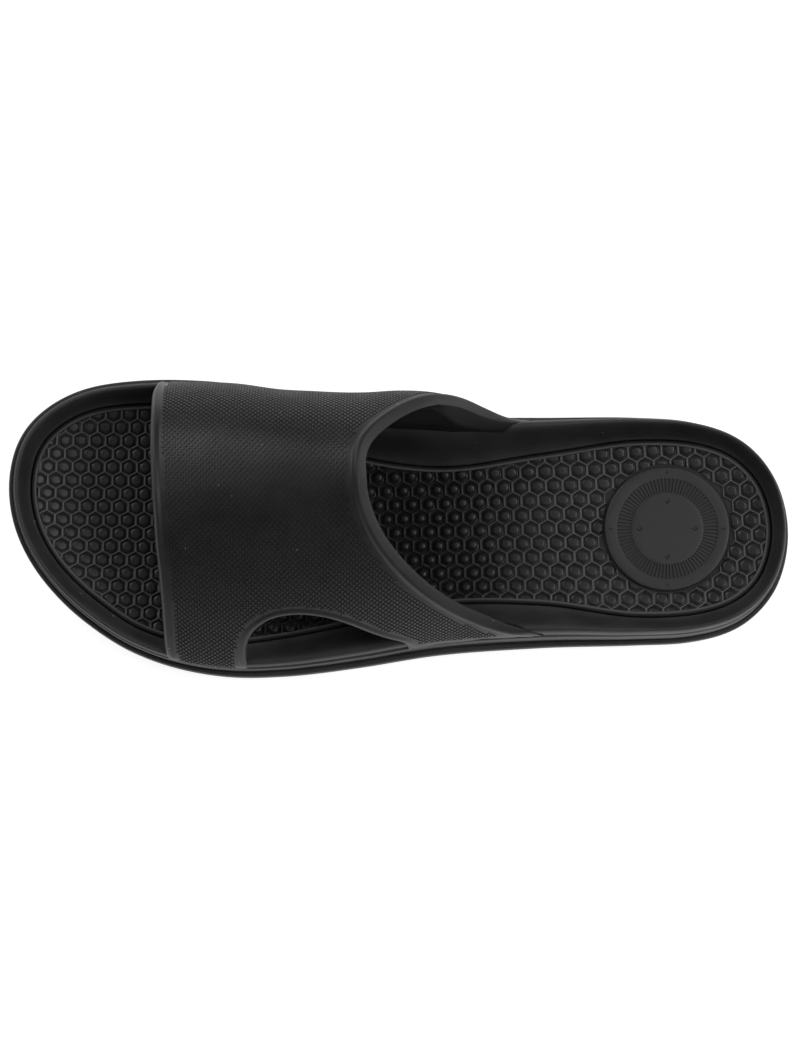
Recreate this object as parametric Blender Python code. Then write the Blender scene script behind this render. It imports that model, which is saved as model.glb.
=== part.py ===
"""A left sport slide sandal of moulded foam, standing empty on its sole.

The toe points to -X, the big-toe side to +Y and up is +Z. The origin lies on the
ground under the middle of the shoe. Lengths are in metres.
"""

import math

import bmesh
import bpy
import numpy as np

# Sole
SOLE_LENGTH = 0.290
BALL_WIDTH = 0.111
TOE_SPRING = 0.009
HEEL_LIFT = 0.0035
WAIST_LIFT = 0.0025
OUTSOLE_HEIGHT = 0.007
LEDGE_HEIGHT = 0.015
HEEL_BED_HEIGHT = 0.026
RIM_RISE = 0.010
RIM_WIDTH = 0.008
RIM_SPREAD_START = 0.15
ARCH_RISE = 0.006

# Places along the sole, as shares of its length from the toe: where the toe spring ends,
# where the heel's bevel starts, and between which the waist is raised
TOE_SPRING_END = 0.24
HEEL_LIFT_START = 0.90
WAIST_START = 0.40
WAIST_END = 0.67

# Tread: a groove's sweep is a share of the pitch, and the places are shares of the length
GROOVE_DEPTH = 0.0025
GROOVE_WIDTH = 0.003
GROOVE_PITCH = 0.0115
GROOVE_MARGIN = 0.012
CHEVRON_SWEEP = 0.35
TREAD_START = 0.10
TREAD_BREAK_START = 0.45
TREAD_BREAK_END = 0.62
TREAD_END = 0.95

# Footbed: the medallion's middle is a share of the length from the shoe's middle, and a
# share of the ball's width. The dish starts and grows in shares of the rim's width.
DISH_START = 0.3
DISH_STEP = 0.7
DISH_STEPS = 3
INSOLE_THICKNESS = 0.004
INSOLE_DISH = 0.0015
BORDER_RISE = 0.0004
HEEL_PAD_DIAMETER = 0.0465
HEEL_PAD_MOAT = 0.002
HEEL_PAD_DEPTH = 0.0016
HEEL_PAD_RISE = 0.0010
HEEL_PAD_ALONG = 0.343
HEEL_PAD_ACROSS = -0.012

# Strap
STRAP_WALL = 0.004
STRAP_HEIGHT = 0.071
STRAP_INSET = 0.0015
STRAP_PROUD = 0.0005
FOOT_BLEND = 0.020
STRAP_BULGE = 0.008
FOOT_FLARE = 0.0075
CROWN_OFFSET = 0.012
BEAD_RISE = 0.0005
FRONT_BEAD = 0.0037
REAR_BEAD = 0.0060
EDGE_ROUND = 0.0009

# The wall thickens towards its feet below this height on the arch, over this span, both
# as sines of the turn
FLARE_TOP = 0.60
FLARE_SPAN = 0.35

# Clearance between neighbouring pieces
GAP = 0.0003

# How far cutters reach past what they cut, and the window's cutter into the shoe as a
# share of the ball's width
CUTTER_BELOW = 0.005
CUTTER_ABOVE = 0.020
WINDOW_REACH = 0.15

# Points round the sole's outline, round the strap from foot to foot, round the
# medallion, and along the window
OUTLINE_POINTS = 96
ARCH_STEPS = 48
DISC_POINTS = 48
WINDOW_STEPS = 25
STRAP_COLUMN_SHARES = (0.17, 0.31, 0.44, 0.56, 0.68, 0.80)

# The sole's stations. along is a share of SOLE_LENGTH from the toe. medial and lateral
# are the outline's distances from the middle line, as shares of BALL_WIDTH. bed is a
# share of HEEL_BED_HEIGHT, and rim of RIM_RISE above the bed. wide_medial and
# wide_lateral give the rim's width from outline to footbed in shares of RIM_WIDTH.
# arch is a share of ARCH_RISE, on the medial side only.
SOLE_COLUMNS = (
    "along", "medial", "lateral", "bed", "rim", "wide_medial", "wide_lateral", "arch",
)
SOLE_STATIONS = (
    (0.000, 0.128, 0.128, 0.90, 0.72, 0.99, 0.99, 0.00),
    (0.012, 0.286, -0.037, 0.87, 0.73, 1.00, 1.00, 0.00),
    (0.043, 0.391, -0.178, 0.81, 0.75, 1.03, 1.03, 0.00),
    (0.096, 0.468, -0.316, 0.74, 0.78, 1.06, 1.09, 0.00),
    (0.160, 0.498, -0.421, 0.70, 0.80, 1.13, 1.07, 0.00),
    (0.225, 0.502, -0.478, 0.69, 0.82, 1.19, 1.19, 0.02),
    (0.289, 0.488, -0.502, 0.69, 0.84, 1.32, 1.46, 0.10),
    (0.354, 0.451, -0.499, 0.71, 0.87, 1.65, 1.70, 0.35),
    (0.450, 0.399, -0.470, 0.76, 0.93, 2.19, 1.96, 0.80),
    (0.547, 0.377, -0.431, 0.85, 0.98, 2.45, 2.20, 1.00),
    (0.676, 0.374, -0.404, 0.95, 1.00, 1.86, 1.88, 0.75),
    (0.805, 0.374, -0.394, 1.00, 1.00, 1.22, 1.15, 0.20),
    (0.870, 0.362, -0.385, 1.01, 1.00, 1.13, 1.11, 0.05),
    (0.934, 0.306, -0.338, 1.03, 1.00, 1.05, 1.07, 0.00),
    (0.979, 0.188, -0.229, 1.05, 1.00, 0.93, 0.93, 0.00),
    (1.000, -0.022, -0.022, 1.06, 1.00, 0.84, 0.84, 0.00),
)

# Sections of the midsole from its underside outwards, over the crest and down to the
# recess for the insole. inset runs from 0 at the outline to 1 at the footbed's edge.
# level is 0 at the seam, 1 at the ledge, 2 at the crest, 3 at the bed, 4 at the recess.
MIDSOLE_PROFILE = (
    (0.20, 0.00),
    (0.06, 0.08),
    (0.00, 0.30),
    (0.00, 0.82),
    (0.05, 0.96),
    (0.16, 1.00),
    (0.20, 1.03),
    (0.23, 1.35),
    (0.25, 1.60),
    (0.30, 1.63),
    (0.31, 1.86),
    (0.35, 1.96),
    (0.43, 2.00),
    (0.51, 2.04),
    (0.58, 2.16),
    (0.68, 2.42),
    (0.80, 2.74),
    (0.92, 2.95),
    (0.98, 2.99),
    (1.00, 3.05),
    (1.00, 4.00),
)

# The share at which the midsole's side meets its crest
SIDE_TOP = 0.31

# Sections of the outsole below the seam: inset as above, height as a share of
# OUTSOLE_HEIGHT.
OUTSOLE_PROFILE = (
    (0.95, 0.00),
    (0.60, 0.06),
    (0.36, 0.26),
    (0.24, 0.60),
    (0.20, 1.00),
)

# Sections of the insole's top, from its edge inwards: distance from the edge in shares
# of RIM_WIDTH, and height above the bed in shares of BORDER_RISE.
INSOLE_PROFILE = (
    (0.00, -3.0),
    (0.05, -1.0),
    (0.12, 0.0),
    (0.16, 1.0),
    (0.25, 1.0),
    (0.29, 0.0),
)

# Sections of the medallion's top, from its rim inwards: radius as a share of its own, and
# depth below its top as a share of HEEL_PAD_RISE.
HEEL_PAD_PROFILE = (
    (0.82, 0.00),
    (0.80, 0.50),
    (0.58, 0.50),
    (0.56, 0.00),
    (0.50, 0.00),
    (0.48, 0.25),
)

# The strap's stations: along the sole, height of the crown as a share of STRAP_HEIGHT,
# the crown's offset to the medial side as a share of CROWN_OFFSET, the medial wall's
# bulge as a share of STRAP_BULGE, and how far the wall thickens inwards at its medial
# and lateral foot, in shares of FOOT_FLARE.
STRAP_COLUMNS = ("along", "height", "crown", "bulge", "flare_medial", "flare_lateral")
STRAP_STATIONS = (
    (0.15, 0.69, 0.60, -0.15, 0.00, 0.00),
    (0.20, 0.74, 0.70, -0.15, 0.00, 0.00),
    (0.25, 0.80, 0.80, -0.10, 0.00, 0.00),
    (0.30, 0.86, 0.85, 0.03, 0.05, 0.05),
    (0.35, 0.91, 0.95, 0.18, 0.25, 0.10),
    (0.40, 0.95, 1.00, 0.48, 0.55, 0.15),
    (0.46, 1.00, 1.00, 0.80, 0.85, 0.20),
    (0.50, 1.03, 1.00, 1.00, 1.00, 0.22),
    (0.55, 1.08, 1.00, 0.95, 1.00, 0.25),
    (0.58, 1.10, 1.00, 0.70, 0.90, 0.25),
    (0.61, 1.13, 1.00, 0.25, 0.55, 0.15),
    (0.64, 1.16, 1.00, -0.20, 0.20, 0.05),
    (0.69, 1.20, 1.00, -0.30, 0.05, 0.00),
)
LATERAL_FULLNESS = 1.6
MEDIAL_FULLNESS = 2.4

# The strap's front and rear edges: turn runs from 0 at the lateral foot over the crown
# to 1 at the medial foot, front and rear are shares of SOLE_LENGTH.
EDGE_COLUMNS = ("turn", "front", "rear")
STRAP_EDGES = (
    (0.00, 0.214, 0.690),
    (0.06, 0.207, 0.689),
    (0.09, 0.204, 0.676),
    (0.12, 0.201, 0.636),
    (0.16, 0.200, 0.596),
    (0.23, 0.199, 0.544),
    (0.30, 0.197, 0.504),
    (0.36, 0.194, 0.478),
    (0.43, 0.192, 0.461),
    (0.50, 0.190, 0.457),
    (0.56, 0.188, 0.457),
    (0.62, 0.187, 0.464),
    (0.70, 0.187, 0.487),
    (0.78, 0.187, 0.525),
    (0.84, 0.188, 0.563),
    (0.90, 0.194, 0.612),
    (0.94, 0.198, 0.650),
    (1.00, 0.208, 0.668),
)

# The cut-out in the strap's lateral side, from its front corner over its top to its
# tail: along the sole, and height above the ledge as a share of STRAP_HEIGHT.
WINDOW = (
    (0.306, -0.20),
    (0.306, 0.10),
    (0.307, 0.28),
    (0.313, 0.38),
    (0.326, 0.45),
    (0.346, 0.50),
    (0.375, 0.52),
    (0.408, 0.50),
    (0.439, 0.45),
    (0.470, 0.37),
    (0.500, 0.28),
    (0.511, 0.22),
    (0.513, 0.12),
    (0.513, -0.20),
)

BLACK_FOAM = (0.018, 0.018, 0.019)


def clear_scene():
    """Remove whatever the scene holds."""
    for item in list(bpy.data.objects):
        bpy.data.objects.remove(item, do_unlink=True)


def smooth(knots, values, at):
    """Cubic through values at knots, whose slopes come from the neighbouring knots."""
    knots = np.asarray(knots, float)
    values = np.asarray(values, float)
    slopes = np.gradient(values, knots)
    at = np.asarray(at, float)
    left = np.clip(np.searchsorted(knots, at, side="right") - 1, 0, len(knots) - 2)
    step = knots[left + 1] - knots[left]
    t = (at - knots[left]) / step
    start = (1 + 2 * t) * (1 - t) ** 2 * values[left]
    end = t * t * (3 - 2 * t) * values[left + 1]
    leave = t * (1 - t) ** 2 * step * slopes[left]
    arrive = t * t * (t - 1) * step * slopes[left + 1]
    return start + end + leave + arrive


def sole_column(name):
    """One column of the sole's stations."""
    return np.array([row[SOLE_COLUMNS.index(name)] for row in SOLE_STATIONS])


def strap_column(name, along):
    """One column of the strap's stations, read at some places along the sole."""
    rows = np.array(STRAP_STATIONS)
    return smooth(rows[:, 0], rows[:, STRAP_COLUMNS.index(name)], along)


def turn_of(along):
    """Angle round the outline, 0 at the toe and pi at the heel, for a place along it."""
    return np.arccos(np.clip(1 - 2 * np.asarray(along, float), -1, 1))


def round_outline(medial, lateral, angle):
    """Read two columns round the outline: toe, medial side, heel, lateral side."""
    there = turn_of(sole_column("along"))
    back = 2 * math.pi - there[-2:0:-1]
    knots = np.concatenate((there, back))
    values = np.concatenate((sole_column(medial), sole_column(lateral)[-2:0:-1]))
    knots = np.concatenate((knots[-3:] - 2 * math.pi, knots, knots[:3] + 2 * math.pi))
    values = np.concatenate((values[-3:], values, values[:3]))
    return smooth(knots, values, angle)


def outline_at(angle):
    """Points of the outline in plan, centred between its widest places."""
    all_round = np.linspace(0, 2 * math.pi, 720)
    widths = round_outline("medial", "lateral", all_round)
    middle = (widths.max() + widths.min()) / 2
    x = -np.cos(angle) * SOLE_LENGTH / 2
    y = (round_outline("medial", "lateral", angle) - middle) * BALL_WIDTH
    return np.stack((x, y), axis=-1)


def outward_at(angle):
    """Unit vectors in plan that point out of the outline."""
    step = 0.01
    run = outline_at(angle + step) - outline_at(angle - step)
    run /= np.linalg.norm(run, axis=-1, keepdims=True)
    return np.stack((-run[..., 1], run[..., 0]), axis=-1)


def along_of(x):
    """Place along the sole, 0 at the toe and 1 at the heel, of an x position."""
    return np.clip(np.asarray(x) / SOLE_LENGTH + 0.5, 0, 1)


def ground_height(x):
    """Height of the sole's underside: toe spring, raised waist and heel bevel."""
    along = along_of(x)
    toe = TOE_SPRING * np.clip(1 - along / TOE_SPRING_END, 0, 1) ** 2
    heel = HEEL_LIFT * np.clip((along - HEEL_LIFT_START) / (1 - HEEL_LIFT_START), 0, 1) ** 2
    waist = np.clip((along - WAIST_START) / (WAIST_END - WAIST_START), 0, 1)
    return toe + heel + WAIST_LIFT * np.sin(math.pi * waist) ** 2


def bed_height(x):
    """Height of the footbed."""
    return HEEL_BED_HEIGHT * smooth(sole_column("along"), sole_column("bed"), along_of(x))


def level_height(x, angle, level):
    """Height of a level of the midsole's section."""
    bed = bed_height(x)
    ledge = ground_height(x) + LEDGE_HEIGHT
    rise = RIM_RISE * smooth(sole_column("along"), sole_column("rim"), along_of(x))
    arch = np.where(angle < math.pi, smooth(sole_column("along"), sole_column("arch"), along_of(x)), 0)
    marks = (
        ground_height(x) + OUTSOLE_HEIGHT,
        ledge,
        bed + rise + ARCH_RISE * np.clip(arch, 0, None),
        bed,
        bed - INSOLE_THICKNESS,
    )
    lower = min(int(level), len(marks) - 2)
    return marks[lower] + (marks[lower + 1] - marks[lower]) * (level - lower)


def rim_spread(share):
    """Part of the rim's extra width that lies outside a share of the rim."""
    return max(0, (share - RIM_SPREAD_START) / (1 - RIM_SPREAD_START))


def inset_points(share, angle, extra=0.0):
    """Plan points between the outline, share 0, and the footbed's edge, share 1."""
    wide = round_outline("wide_medial", "wide_lateral", angle) * RIM_WIDTH
    widening = (wide - RIM_WIDTH) * rim_spread(share)
    inset = share * RIM_WIDTH + widening + extra
    return outline_at(angle) - outward_at(angle) * inset[..., None]


def with_height(plan, height):
    """Plan points lifted to a height."""
    return np.concatenate((plan, np.broadcast_to(height, plan.shape[:-1])[..., None]), axis=-1)


def loft(name, rings):
    """Closed solid through rings of equally many points, capped with rungs across."""
    mesh = bmesh.new()
    rows = [[mesh.verts.new(point) for point in ring] for ring in rings]
    count = len(rows[0])
    for lower, upper in zip(rows, rows[1:]):
        for i in range(count):
            j = (i + 1) % count
            mesh.faces.new((lower[i], lower[j], upper[j]))
            mesh.faces.new((lower[i], upper[j], upper[i]))
    for row in (rows[0], rows[-1]):
        mesh.faces.new((row[0], row[1], row[-1]))
        for i in range(1, count // 2 - 1):
            mesh.faces.new((row[i], row[i + 1], row[-i]))
            mesh.faces.new((row[i + 1], row[-i - 1], row[-i]))
        mesh.faces.new((row[count // 2 - 1], row[count // 2], row[count // 2 + 1]))
    bmesh.ops.recalc_face_normals(mesh, faces=mesh.faces)
    data = bpy.data.meshes.new(name)
    mesh.to_mesh(data)
    mesh.free()
    made = bpy.data.objects.new(name, data)
    bpy.context.collection.objects.link(made)
    return made


def finish(made, material, crease=40):
    """Give a piece its material and smooth shading with sharp creases."""
    made.data.materials.clear()
    made.data.materials.append(material)
    made.data.shade_smooth()
    made.data.set_sharp_from_angle(angle=math.radians(crease))


def foam(name, roughness):
    """Black moulded foam."""
    material = bpy.data.materials.new(name)
    material.use_nodes = True
    shader = material.node_tree.nodes["Principled BSDF"]
    shader.inputs["Base Color"].default_value = (*BLACK_FOAM, 1)
    shader.inputs["Roughness"].default_value = roughness
    shader.inputs["Metallic"].default_value = 0
    return material


def subtract(piece, cutter):
    """Cut one solid out of another, and leave the cutter as a hidden guide."""
    cut = piece.modifiers.new("cut_" + cutter.name, "BOOLEAN")
    cut.operation = "DIFFERENCE"
    cut.solver = "EXACT"
    cut.object = cutter
    cutter.hide_render = True
    cutter.display_type = "WIRE"


def round_angles():
    """Angles of the points round the outline, the first at the toe."""
    return np.arange(OUTLINE_POINTS) * 2 * math.pi / OUTLINE_POINTS


def groove_lines():
    """Middle lines of the tread's chevron grooves, in shares along and across."""
    lines = []
    first = round(TREAD_START * SOLE_LENGTH / GROOVE_PITCH)
    last = round(TREAD_END * SOLE_LENGTH / GROOVE_PITCH)
    for number in range(first, last):
        along = number * GROOVE_PITCH / SOLE_LENGTH
        if TREAD_BREAK_START < along < TREAD_BREAK_END:
            continue
        lines.append(along)
    return lines


def groove_cutter():
    """Bars that cut the tread's grooves: chevrons whose points face the toe."""
    mesh = bmesh.new()
    for along in groove_lines():
        angle = float(turn_of(along))
        medial = outline_at(np.array(angle))[1] - GROOVE_MARGIN
        lateral = outline_at(np.array(2 * math.pi - angle))[1] + GROOVE_MARGIN
        x = (along - 0.5) * SOLE_LENGTH
        sweep = CHEVRON_SWEEP * GROOVE_PITCH
        line = [(x + sweep, lateral), (x - sweep, (medial + lateral) / 2), (x + sweep, medial)]
        low, top = -CUTTER_BELOW, float(ground_height(x)) + GROOVE_DEPTH
        rows = []
        for px, py in line:
            rows.append([mesh.verts.new((px + side * GROOVE_WIDTH / 2, py, z))
                         for side, z in ((-1, low), (1, low), (1, top), (-1, top))])
        for near, far in zip(rows, rows[1:]):
            for i in range(4):
                j = (i + 1) % 4
                mesh.faces.new((near[i], near[j], far[j], far[i]))
        mesh.faces.new(rows[0])
        mesh.faces.new(rows[-1])
    bmesh.ops.recalc_face_normals(mesh, faces=mesh.faces)
    data = bpy.data.meshes.new("tread_grooves")
    mesh.to_mesh(data)
    mesh.free()
    cutter = bpy.data.objects.new("tread_grooves", data)
    bpy.context.collection.objects.link(cutter)
    return cutter


def make_outsole():
    """The ground layer, up to the seam under the midsole."""
    angle = round_angles()
    rings = []
    for share, rise in OUTSOLE_PROFILE:
        plan = inset_points(share, angle)
        height = ground_height(plan[:, 0]) + rise * (OUTSOLE_HEIGHT - GAP)
        rings.append(with_height(plan, height))
    outsole = loft("outsole", rings)
    subtract(outsole, groove_cutter())
    finish(outsole, foam("outsole_foam", 0.6))
    return outsole


def make_midsole():
    """The cupped foam sole with its ledge, stepped side, crest and insole recess."""
    angle = round_angles()
    rings = []
    for share, level in MIDSOLE_PROFILE:
        plan = inset_points(share, angle)
        rings.append(with_height(plan, level_height(plan[:, 0], angle, level)))
    midsole = loft("midsole", rings)
    finish(midsole, foam("midsole_foam", 0.5))
    return midsole


def heel_pad_place():
    """Middle of the heel medallion: plan position and height of the bed there."""
    x = HEEL_PAD_ALONG * SOLE_LENGTH
    y = HEEL_PAD_ACROSS * BALL_WIDTH
    return x, y, float(bed_height(x)) - INSOLE_DISH


def disc_rings(place, sections):
    """Rings of a turned piece from its radii and heights."""
    angle = np.arange(DISC_POINTS) * 2 * math.pi / DISC_POINTS
    x, y, _ = place
    rings = []
    for radius, height in sections:
        plan = np.stack((x - radius * np.cos(angle), y + radius * np.sin(angle)), axis=-1)
        rings.append(with_height(plan, height))
    return rings


def make_insole():
    """The footbed insert with its border line, dished top and round seat in the heel."""
    angle = round_angles()
    bottom = inset_points(1.0, angle, GAP)
    rings = [with_height(bottom, bed_height(bottom[:, 0]) - INSOLE_THICKNESS + GAP)]
    for inwards, rise in INSOLE_PROFILE:
        plan = inset_points(1.0, angle, GAP + inwards * RIM_WIDTH)
        rings.append(with_height(plan, bed_height(plan[:, 0]) + rise * BORDER_RISE))
    for step in range(1, DISH_STEPS + 1):
        plan = inset_points(1.0, angle, (DISH_START + DISH_STEP * step) * RIM_WIDTH)
        dish = INSOLE_DISH * math.sin(step / DISH_STEPS * math.pi / 2)
        rings.append(with_height(plan, bed_height(plan[:, 0]) - dish))
    insole = loft("insole", rings)
    place = heel_pad_place()
    radius = HEEL_PAD_DIAMETER / 2 + HEEL_PAD_MOAT
    seat = place[2] - HEEL_PAD_DEPTH
    sections = ((radius, seat), (radius, seat + CUTTER_ABOVE))
    subtract(insole, loft("heel_pad_seat", disc_rings(place, sections)))
    finish(insole, foam("insole_foam", 0.7))
    return insole


def make_heel_pad():
    """The round medallion: a raised ring round a flat middle, standing in its seat."""
    place = heel_pad_place()
    radius = HEEL_PAD_DIAMETER / 2
    bottom = place[2] - HEEL_PAD_DEPTH + GAP
    top = place[2] + HEEL_PAD_RISE
    step = HEEL_PAD_RISE / 2
    sections = (
        (radius, bottom),
        (radius, top - step),
        (radius - step, top),
        *((radius * share, top - depth * HEEL_PAD_RISE) for share, depth in HEEL_PAD_PROFILE),
    )
    pad = loft("heel_pad", disc_rings(place, sections))
    finish(pad, foam("heel_pad_foam", 0.5))
    return pad


def strap_surface(along, turn):
    """Points of the strap's outer face between its raised borders."""
    x = (along - 0.5) * SOLE_LENGTH
    angle = turn_of(along)
    medial = outline_at(angle)[..., 1] - STRAP_INSET
    lateral = outline_at(2 * math.pi - angle)[..., 1] + STRAP_INSET
    crown = CROWN_OFFSET * strap_column("crown", along)
    rise = STRAP_HEIGHT * strap_column("height", along)
    theta = math.pi * turn
    over = theta > math.pi / 2
    fullness = np.where(over, MEDIAL_FULLNESS, LATERAL_FULLNESS)
    across = np.sign(np.cos(theta)) * np.abs(np.cos(theta)) ** (2 / fullness)
    up = np.sign(np.sin(theta)) * np.abs(np.sin(theta)) ** (2 / fullness)
    reach = np.where(over, medial - crown, crown - lateral)
    y = crown - across * reach
    swell = STRAP_BULGE * strap_column("bulge", along) * np.sin(math.pi * np.clip(up, 0, 1))
    y = y + np.where(over, swell, 0) * np.abs(across)
    side = np.where(over, angle, 2 * math.pi - angle)
    y = y + np.where(over, 1, -1) * foot_swell(x, side, rise, np.clip(up, 0, 1), reach, fullness)
    foot = ground_height(x) + LEDGE_HEIGHT + GAP
    return np.stack((x, y, foot + rise * up), axis=-1)


def foot_swell(x, angle, rise, up, reach, fullness):
    """How far the strap's foot stands out from its arch to cover the midsole's side."""
    crest = (level_height(x, angle, 2) - level_height(x, angle, 1)) / rise
    low = np.minimum(up, crest)
    wide = round_outline("wide_medial", "wide_lateral", angle) * RIM_WIDTH
    side_inset = SIDE_TOP * RIM_WIDTH + rim_spread(SIDE_TOP) * (wide - RIM_WIDTH)
    wall = STRAP_INSET + (side_inset - STRAP_PROUD - STRAP_INSET) * low / crest
    arch = STRAP_INSET + reach * (1 - (1 - low ** fullness) ** (1 / fullness))
    fade = np.clip(1 - (up - crest) * rise / FOOT_BLEND, 0, 1)
    return np.clip(arch - wall, 0, None) * fade * fade * (3 - 2 * fade)


def strap_outward(along, turn):
    """Unit vectors that point out of the strap's outer face."""
    step = 0.004
    lengthwise = strap_surface(along + step, turn) - strap_surface(along - step, turn)
    over = strap_surface(along, turn + step) - strap_surface(along, turn - step)
    normal = np.cross(lengthwise, over)
    return normal / np.linalg.norm(normal, axis=-1, keepdims=True)


def strap_wall(along, turn):
    """The wall's thickness, which grows towards the feet where the sole's rim is wide."""
    side = "flare_medial" if turn[0] > 0.5 else "flare_lateral"
    low = np.clip((FLARE_TOP - np.sin(math.pi * turn)) / FLARE_SPAN, 0, 1)
    fade = low * low * (3 - 2 * low)
    return STRAP_WALL + FOOT_FLARE * strap_column(side, along) * fade


def strap_ring(turn, grow):
    """One loop round the strap's wall: front edge, outer face, rear edge, inner face."""
    table = np.array(STRAP_EDGES)
    turns = table[:, EDGE_COLUMNS.index("turn")]
    front = float(smooth(turns, table[:, EDGE_COLUMNS.index("front")], turn)) * SOLE_LENGTH
    rear = float(smooth(turns, table[:, EDGE_COLUMNS.index("rear")], turn)) * SOLE_LENGTH
    columns = (
        (front + EDGE_ROUND, BEAD_RISE),
        (front + FRONT_BEAD, BEAD_RISE),
        (front + FRONT_BEAD + BEAD_RISE, 0),
        *((front + (rear - front) * share, 0) for share in STRAP_COLUMN_SHARES),
        (rear - REAR_BEAD - BEAD_RISE, 0),
        (rear - REAR_BEAD, BEAD_RISE),
        (rear - EDGE_ROUND, BEAD_RISE),
    )
    along = np.array([place for place, _ in columns]) / SOLE_LENGTH
    lift = np.array([rise for _, rise in columns])
    turns = np.full(along.shape, turn)
    face = strap_surface(along, turns)
    normal = strap_outward(along, turns)
    outer = face + normal * (lift + grow)[:, None]
    inner = face - normal * (strap_wall(along, turns) + grow)[:, None]
    ends = np.array([front - grow, rear + grow]) / SOLE_LENGTH
    middle = strap_surface(ends, turns[:2]) - strap_outward(ends, turns[:2]) * STRAP_WALL / 2
    ring = np.concatenate((middle[:1], outer, middle[1:], inner[::-1]))
    return ring


def strap_solid(name, grow=0.0):
    """The strap's wall, or with grow the room that it takes in its neighbours."""
    rings = [strap_ring(turn, grow) for turn in np.linspace(0, 1, ARCH_STEPS + 1)]
    for ring in (rings[0], rings[-1]):
        ring[:, 2] -= grow
    strap = loft(name, rings)
    subtract(strap, window_cutter(name + "_window", grow))
    return strap


def window_cutter(name, grow):
    """The cut-out's prism, from outside the lateral wall to inside it."""
    table = np.array(WINDOW)
    order = np.arange(len(table))
    fine = np.linspace(1, len(table) - 2, WINDOW_STEPS)
    along = smooth(order, table[:, 0], fine)
    rise = smooth(order, table[:, 1], fine)
    along = np.concatenate((table[:1, 0], along, table[-1:, 0]))
    rise = np.concatenate((table[:1, 1], rise, table[-1:, 1]))
    middle = (along.min() + along.max()) / 2
    shrink = 1 - grow / ((along.max() - middle) * SOLE_LENGTH)
    x = ((middle + (along - middle) * shrink) - 0.5) * SOLE_LENGTH
    z = LEDGE_HEIGHT + rise * STRAP_HEIGHT - grow
    rings = []
    for y in (-BALL_WIDTH, -WINDOW_REACH * BALL_WIDTH):
        rings.append([(px, y, pz) for px, pz in zip(x, z)])
    mesh = bmesh.new()
    rows = [[mesh.verts.new(point) for point in ring] for ring in rings]
    for i in range(len(rows[0])):
        j = (i + 1) % len(rows[0])
        mesh.faces.new((rows[0][i], rows[0][j], rows[1][j], rows[1][i]))
    mesh.faces.new(rows[0])
    mesh.faces.new(rows[1])
    bmesh.ops.recalc_face_normals(mesh, faces=mesh.faces)
    data = bpy.data.meshes.new(name)
    mesh.to_mesh(data)
    mesh.free()
    cutter = bpy.data.objects.new(name, data)
    bpy.context.collection.objects.link(cutter)
    return cutter


def make_upper(midsole):
    """The strap, and the pockets for its feet in the midsole's side."""
    upper = strap_solid("upper")
    subtract(midsole, strap_solid("strap_room", GAP))
    finish(upper, foam("strap_foam", 0.5))
    return upper


clear_scene()
make_outsole()
make_upper(make_midsole())
make_insole()
make_heel_pad()
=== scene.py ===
"""A black sport slide sandal of moulded foam: one left shoe, standing empty.

The toe points to -X, the big-toe side to +Y and the ground is at z = 0.
"""

import math

import bmesh
import bpy
import numpy as np
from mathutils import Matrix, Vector
from mathutils.geometry import delaunay_2d_cdt


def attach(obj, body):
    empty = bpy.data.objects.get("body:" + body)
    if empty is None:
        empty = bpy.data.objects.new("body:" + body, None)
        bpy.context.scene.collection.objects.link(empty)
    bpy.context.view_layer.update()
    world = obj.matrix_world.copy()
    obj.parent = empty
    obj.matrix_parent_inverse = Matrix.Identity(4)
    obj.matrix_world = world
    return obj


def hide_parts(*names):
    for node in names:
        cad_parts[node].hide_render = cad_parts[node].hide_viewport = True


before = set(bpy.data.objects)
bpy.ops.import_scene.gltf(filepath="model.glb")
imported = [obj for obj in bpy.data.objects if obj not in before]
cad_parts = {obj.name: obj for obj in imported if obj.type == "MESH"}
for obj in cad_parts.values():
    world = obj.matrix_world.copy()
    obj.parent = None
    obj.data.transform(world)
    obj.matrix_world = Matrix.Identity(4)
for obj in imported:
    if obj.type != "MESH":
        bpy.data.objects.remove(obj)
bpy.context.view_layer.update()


# Camera
# A product shot from almost straight above, from far off, with the toe on the left.
camera = bpy.data.objects.new("camera", bpy.data.cameras.new("camera"))
bpy.context.collection.objects.link(camera)
CAMERA_HEIGHT_ANGLE = math.radians(84.3)
CAMERA_DISTANCE = 1.7
CAMERA_AIM = Vector((0.0004, 0.00187, 0.0102))
camera_back = Vector((0, -math.cos(CAMERA_HEIGHT_ANGLE), math.sin(CAMERA_HEIGHT_ANGLE)))
camera.location = CAMERA_AIM + camera_back * CAMERA_DISTANCE
camera.rotation_mode = "QUATERNION"
camera.rotation_quaternion = (-camera_back).to_track_quat("-Z", "Y")
camera.data.lens = 156.1
camera.data.sensor_width = 36
camera.data.clip_start = 0.1
camera.data.clip_end = 20
bpy.context.scene.camera = camera
bpy.context.scene.view_settings.view_transform = "Standard"


# Studio
# A white table and large soft lamps: the strongest beyond the toe's inner side, over the
# heel and low behind it, which draw the bands and glints on the foam, and weak fills.
floor_mesh = bmesh.new()
bmesh.ops.create_grid(floor_mesh, x_segments=1, y_segments=1, size=3.0)
floor_data = bpy.data.meshes.new("studio_table")
floor_mesh.to_mesh(floor_data)
floor_mesh.free()
studio_table = bpy.data.objects.new("studio_table", floor_data)
bpy.context.collection.objects.link(studio_table)
table_white = bpy.data.materials.new("table_white")
table_white.use_nodes = True
table_shader = table_white.node_tree.nodes["Principled BSDF"]
table_shader.inputs["Base Color"].default_value = (0.5, 0.5, 0.5, 1)
table_shader.inputs["Roughness"].default_value = 0.9
table_shader.inputs["Specular IOR Level"].default_value = 0.1
table_shader.inputs["Emission Color"].default_value = (1, 1, 1, 1)
table_shader.inputs["Emission Strength"].default_value = 0.88
studio_table.data.materials.append(table_white)


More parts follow.
